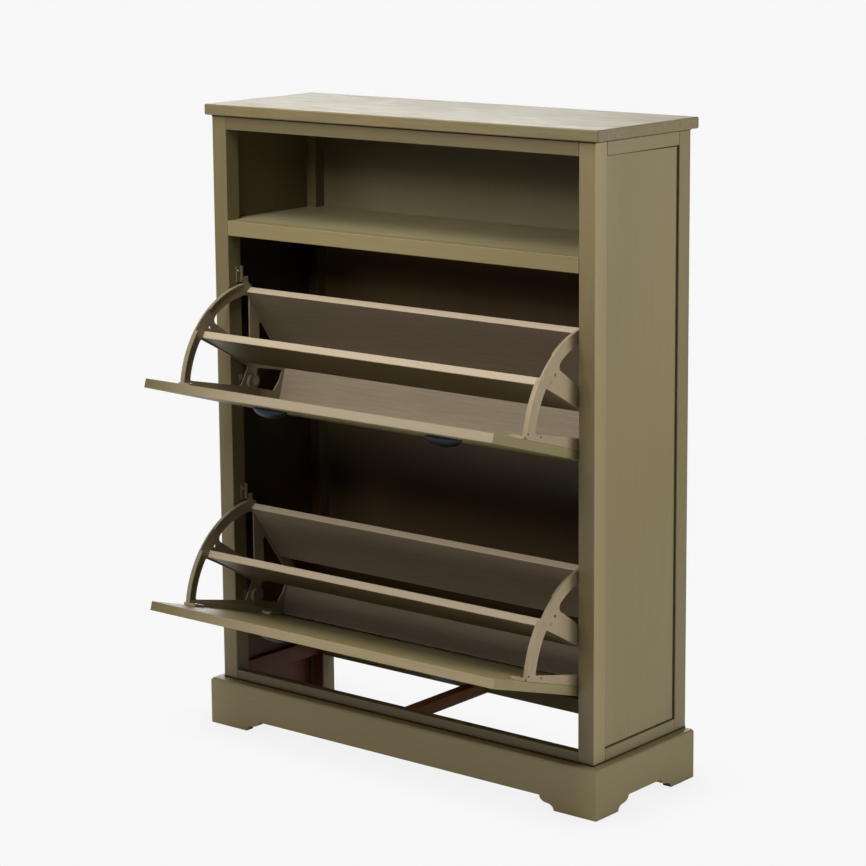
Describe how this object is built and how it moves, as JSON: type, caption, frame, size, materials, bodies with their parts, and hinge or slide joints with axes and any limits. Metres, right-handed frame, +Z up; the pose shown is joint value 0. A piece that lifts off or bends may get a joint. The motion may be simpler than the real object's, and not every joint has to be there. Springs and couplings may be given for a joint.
{
  "type": "shoe cabinet",
  "caption": "Freestanding narrow shoe cabinet with an open cubby over two tilt-out shoe racks, on a plinth with arched feet.",
  "frame": {"origin": "centre of the bounding box, on the floor", "axes": "+X to the cabinet's right when facing it, +Y towards the wall behind it, +Z up"},
  "size_m": [0.804, 0.46, 1.0498],
  "materials": {
    "olive_paint": "olive-grey satin paint over wood and board",
    "interior_brown": "dark brown stained wood",
    "panel_foil": "taupe foil with a fine grain, lighter on the edges",
    "beige_plastic": "beige moulded plastic, satin",
    "pull_metal": "dark blue-grey metal, satin",
    "zinc_steel": "zinc-plated steel"
  },
  "bodies": {
    "cabinet": {"top_board": "olive_paint", "post_front_left": "olive_paint", "post_front_right": "olive_paint", "post_rear_left": "olive_paint", "post_rear_right": "olive_paint", "top_rail_front": "olive_paint", "top_rail_rear": "olive_paint", "top_rail_left": "olive_paint", "top_rail_right": "olive_paint", "shelf_rail": "olive_paint", "shelf_board": "olive_paint", "bottom_rail_front": "olive_paint", "bottom_rail_rear": "olive_paint", "bottom_rail_left": "olive_paint", "bottom_rail_right": "olive_paint", "side_panel_left": "olive_paint", "side_panel_right": "olive_paint", "back_panel": "olive_paint", "plinth_front": "olive_paint", "plinth_left": "olive_paint", "plinth_right": "olive_paint", "centre_brace": "interior_brown", "lower_pivot_plate_left": "zinc_steel", "lower_pivot_pin_left": "zinc_steel", "lower_open_stop_left": "beige_plastic", "lower_closed_stop_left": "beige_plastic", "lower_pivot_plate_right": "zinc_steel", "lower_pivot_pin_right": "zinc_steel", "lower_open_stop_right": "beige_plastic", "lower_closed_stop_right": "beige_plastic", "upper_pivot_plate_left": "zinc_steel", "upper_pivot_pin_left": "zinc_steel", "upper_open_stop_left": "beige_plastic", "upper_closed_stop_left": "beige_plastic", "upper_pivot_plate_right": "zinc_steel", "upper_pivot_pin_right": "zinc_steel", "upper_open_stop_right": "beige_plastic", "upper_closed_stop_right": "beige_plastic"},
    "lower_rack": {"lower_door": "olive_paint", "lower_divider": "panel_foil", "lower_rear_panel": "panel_foil", "lower_toe_panel": "panel_foil", "lower_bracket_left": "beige_plastic", "lower_pull_left": "pull_metal", "lower_bracket_right": "beige_plastic", "lower_pull_right": "pull_metal"},
    "upper_rack": {"upper_door": "olive_paint", "upper_divider": "panel_foil", "upper_rear_panel": "panel_foil", "upper_toe_panel": "panel_foil", "upper_bracket_left": "beige_plastic", "upper_pull_left": "pull_metal", "upper_bracket_right": "beige_plastic", "upper_pull_right": "pull_metal"}
  },
  "joints": [
    {"name": "upper_rack_tilt", "type": "hinge", "parent": "cabinet", "child": "upper_rack", "pos_m": [0, 0.01818, 0.586], "axis": [-1, 0, 0], "range_deg": [0, 73.5]},
    {"name": "lower_rack_tilt", "type": "hinge", "parent": "cabinet", "child": "lower_rack", "pos_m": [0, 0.01818, 0.2185], "axis": [-1, 0, 0], "range_deg": [0, 73.5]}
  ]
}
